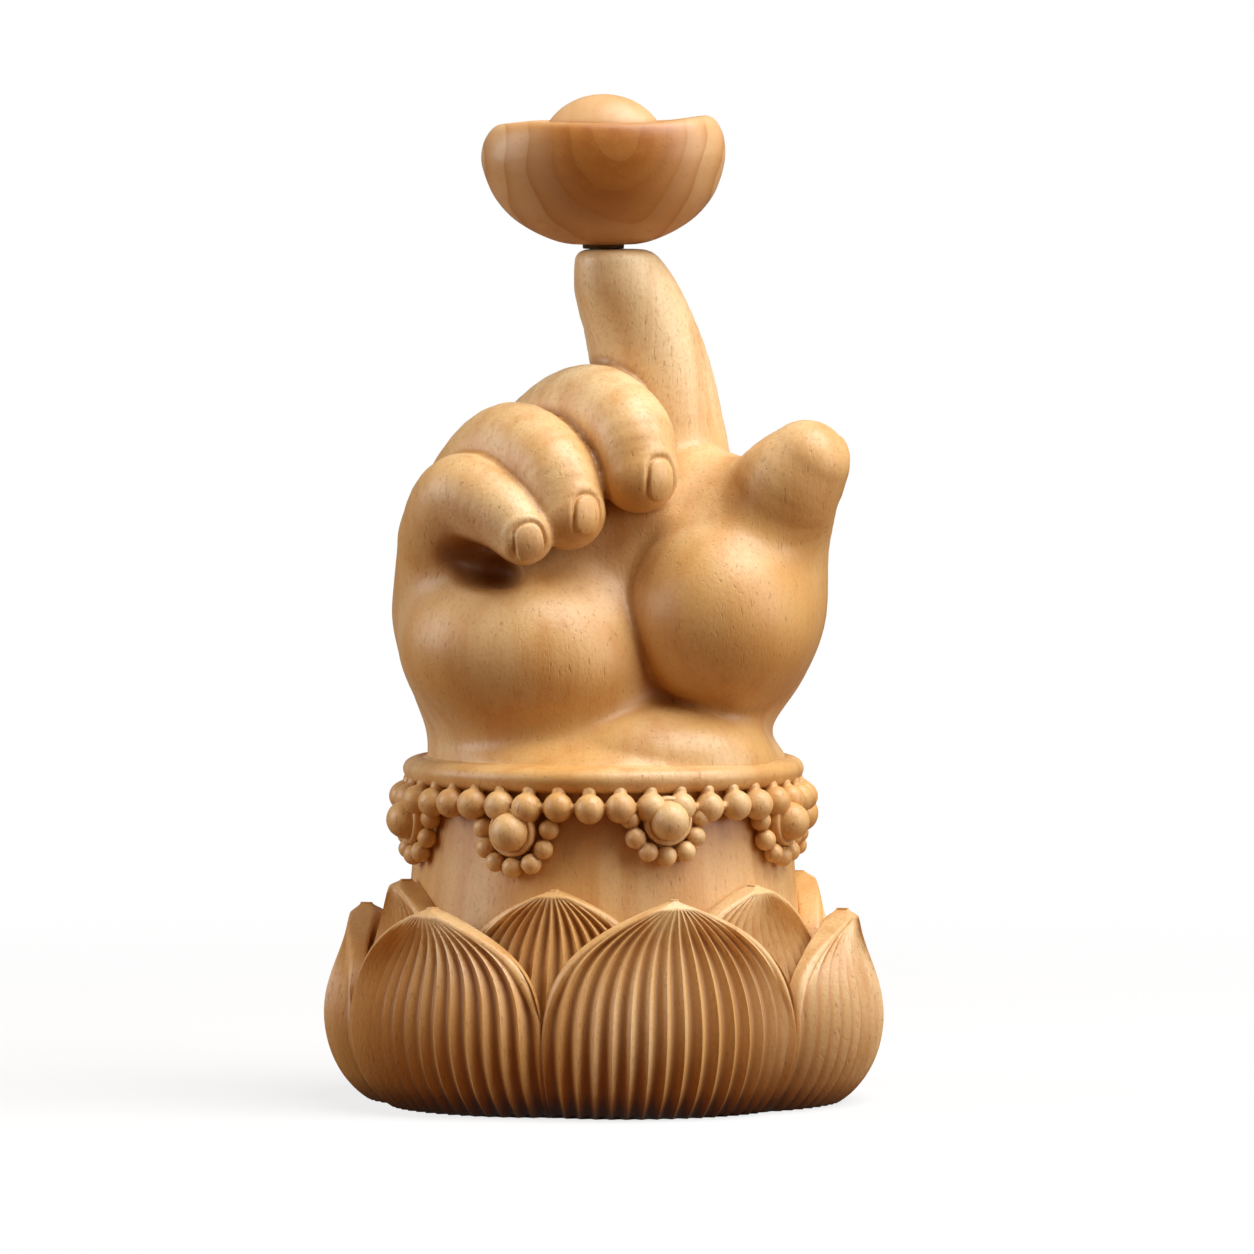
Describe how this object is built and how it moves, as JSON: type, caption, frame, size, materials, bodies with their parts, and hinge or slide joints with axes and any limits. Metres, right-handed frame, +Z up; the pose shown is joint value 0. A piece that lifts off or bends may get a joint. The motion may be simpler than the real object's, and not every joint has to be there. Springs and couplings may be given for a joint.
{
  "type": "carved hand ornament",
  "caption": "Carved wooden hand rising from a lotus seat, with a bead garland round the wrist and a boat-shaped ingot that turns on the raised fingertip.",
  "frame": {"origin": "centre of the flat underside of the lotus seat, on the surface it stands on", "axes": "+Z up; -Y towards the palm side, where the viewer stands; +X towards the thumb"},
  "size_m": [0.0614, 0.0612, 0.1106],
  "materials": {
    "boxwood": "oiled satin",
    "ingot_wood": "polished",
    "dowel_wood": "raw",
    "pin_steel": "bright",
    "cup_brass": "turned"
  },
  "bodies": {
    "stand": {"lotus_core": "boxwood", "outer_petal_1": "boxwood", "outer_petal_2": "boxwood", "outer_petal_3": "boxwood", "outer_petal_4": "boxwood", "outer_petal_5": "boxwood", "outer_petal_6": "boxwood", "inner_petal_1": "boxwood", "inner_petal_2": "boxwood", "inner_petal_3": "boxwood", "inner_petal_4": "boxwood", "inner_petal_5": "boxwood", "inner_petal_6": "boxwood", "wrist_drum": "boxwood", "wrist_rim": "boxwood", "bead_string": "boxwood", "rosette_1": "boxwood", "rosette_2": "boxwood", "rosette_3": "boxwood", "rosette_4": "boxwood", "rosette_5": "boxwood", "rosette_6": "boxwood", "rosette_7": "boxwood", "rosette_8": "boxwood", "bead_drop_1": "boxwood", "bead_drop_2": "boxwood", "bead_drop_3": "boxwood", "bead_drop_4": "boxwood", "bead_drop_5": "boxwood", "bead_drop_6": "boxwood", "bead_drop_7": "boxwood", "bead_drop_8": "boxwood", "palm": "boxwood", "thumb": "boxwood", "index_finger": "boxwood", "middle_finger": "boxwood", "ring_finger": "boxwood", "little_finger": "boxwood", "centre_dowel": "dowel_wood", "pivot_pin": "pin_steel"},
    "ingot": {"ingot_boat": "ingot_wood", "ingot_crown": "ingot_wood", "pivot_cup": "cup_brass"}
  },
  "joints": [
    {"name": "ingot_spin", "type": "hinge", "parent": "stand", "child": "ingot", "pos_m": [0, 0.001, 0.09342], "axis": [0, 0, 1], "continuous": true}
  ]
}
